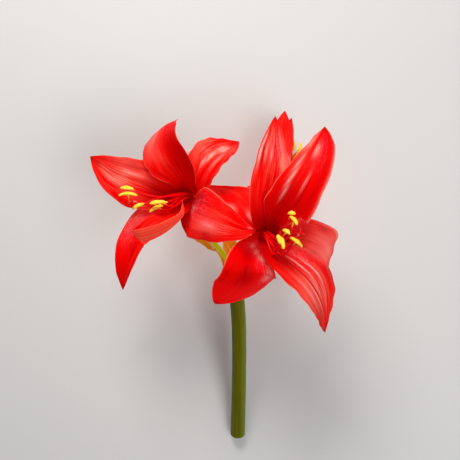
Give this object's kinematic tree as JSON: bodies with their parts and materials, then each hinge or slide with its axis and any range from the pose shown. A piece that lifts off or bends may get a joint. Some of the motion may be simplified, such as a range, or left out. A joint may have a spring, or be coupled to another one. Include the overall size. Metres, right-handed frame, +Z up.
{
  "type": "cut amaryllis stem",
  "caption": "Cut amaryllis stem lying on a surface: a thick green scape with an umbel of large red trumpet blooms, yellow anthers and dry papery bracts, for vases and still lifes.",
  "frame": {"origin": "on the surface that the stem lies on, under the middle of its outline seen from above", "axes": "+Y runs along the scape from the cut end to the blooms, +Z is up, away from the surface, and the open front of the umbel faces up; +X is to the right when the cut end is nearest"},
  "size_m": [0.2532, 0.3726, 0.2063],
  "materials": {
    "tepal": "satin red petal, finely veined along its length, darker in the throat",
    "stamens": "dark red tube, filaments and style, with yellow pollen on the anthers",
    "pedicel": "smooth fresh yellow-green stalk",
    "scape": "smooth waxy olive green stalk",
    "dry_bract": "dry papery brown bract with fine lengthwise veins"
  },
  "bodies": {
    "root": {"left_tepal_1": "tepal", "left_tepal_2": "tepal", "left_tepal_3": "tepal", "left_tepal_4": "tepal", "left_tepal_5": "tepal", "left_tepal_6": "tepal", "right_tepal_1": "tepal", "right_tepal_2": "tepal", "right_tepal_3": "tepal", "right_tepal_4": "tepal", "right_tepal_5": "tepal", "right_tepal_6": "tepal", "back_tepal_1": "tepal", "back_tepal_2": "tepal", "back_tepal_3": "tepal", "back_tepal_4": "tepal", "back_tepal_5": "tepal", "back_tepal_6": "tepal", "stamens_left": "stamens", "stamens_right": "stamens", "stamens_back": "stamens", "pedicel_left": "pedicel", "pedicel_right": "pedicel", "pedicel_back": "pedicel", "scape": "scape", "spathe_valve_1": "dry_bract", "spathe_valve_2": "dry_bract"}
  },
  "joints": []
}
